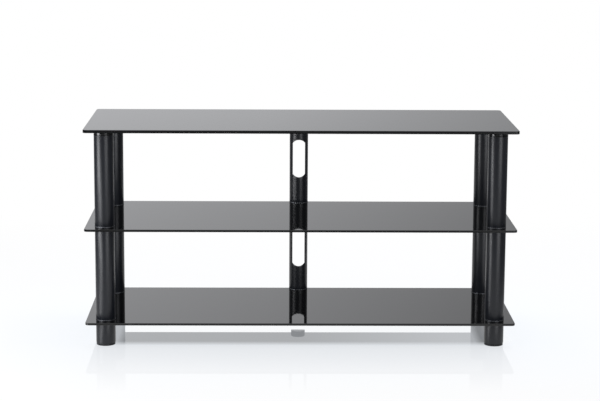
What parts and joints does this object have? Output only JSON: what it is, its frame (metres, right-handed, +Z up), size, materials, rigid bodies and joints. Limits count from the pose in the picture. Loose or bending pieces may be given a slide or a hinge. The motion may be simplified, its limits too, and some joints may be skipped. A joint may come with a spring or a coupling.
{
  "type": "audio equipment rack",
  "caption": "Low, wide audio rack: black glass shelves with rounded corners, clamped between round satin black posts, with a slotted, open-backed cable channel at the rear centre.",
  "frame": {"origin": "centre of the rack's outline on the floor plane", "axes": "+Z up, +Y towards the rear (the side with the cable channels), +X to the right as seen from the front"},
  "size_m": [1.1, 0.42, 0.5635],
  "materials": {
    "black_glass": "black tempered glass, polished",
    "satin_black": "satin black",
    "polished_black": "polished black",
    "dark_metal": "dark satin metal",
    "plated_steel": "zinc plated",
    "black_plastic": "matt black",
    "black_rubber": "matt black rubber"
  },
  "bodies": {
    "root": {"top_shelf": "black_glass", "middle_shelf": "black_glass", "bottom_shelf": "black_glass", "foot_pad_front_left": "black_rubber", "foot_pad_front_right": "black_rubber", "foot_pad_rear_left": "black_rubber", "foot_pad_rear_right": "black_rubber", "foot_front_left": "satin_black", "foot_front_right": "satin_black", "foot_rear_left": "satin_black", "foot_rear_right": "satin_black", "lower_stud_front_left": "plated_steel", "lower_stud_front_right": "plated_steel", "lower_stud_rear_left": "plated_steel", "lower_stud_rear_right": "plated_steel", "lower_base_plug_front_left": "dark_metal", "lower_base_plug_front_right": "dark_metal", "lower_base_plug_rear_left": "dark_metal", "lower_base_plug_rear_right": "dark_metal", "lower_tube_front_left": "satin_black", "lower_tube_front_right": "satin_black", "lower_tube_rear_left": "satin_black", "lower_tube_rear_right": "satin_black", "lower_head_plug_front_left": "dark_metal", "lower_head_plug_front_right": "dark_metal", "lower_head_plug_rear_left": "dark_metal", "lower_head_plug_rear_right": "dark_metal", "upper_stud_front_left": "plated_steel", "upper_stud_front_right": "plated_steel", "upper_stud_rear_left": "plated_steel", "upper_stud_rear_right": "plated_steel", "upper_base_plug_front_left": "dark_metal", "upper_base_plug_front_right": "dark_metal", "upper_base_plug_rear_left": "dark_metal", "upper_base_plug_rear_right": "dark_metal", "upper_tube_front_left": "satin_black", "upper_tube_front_right": "satin_black", "upper_tube_rear_left": "satin_black", "upper_tube_rear_right": "satin_black", "upper_head_plug_front_left": "dark_metal", "upper_head_plug_front_right": "dark_metal", "upper_head_plug_rear_left": "dark_metal", "upper_head_plug_rear_right": "dark_metal", "top_disc_front_left": "polished_black", "top_disc_front_right": "polished_black", "top_disc_rear_left": "polished_black", "top_disc_rear_right": "polished_black", "lower_channel_base_plug": "black_plastic", "lower_cable_channel": "satin_black", "lower_channel_head_plug": "black_plastic", "upper_channel_base_plug": "black_plastic", "upper_cable_channel": "satin_black", "upper_channel_head_plug": "black_plastic", "upper_channel_stud": "plated_steel", "lower_channel_stud": "plated_steel", "channel_cap_nut": "satin_black"}
  },
  "joints": []
}
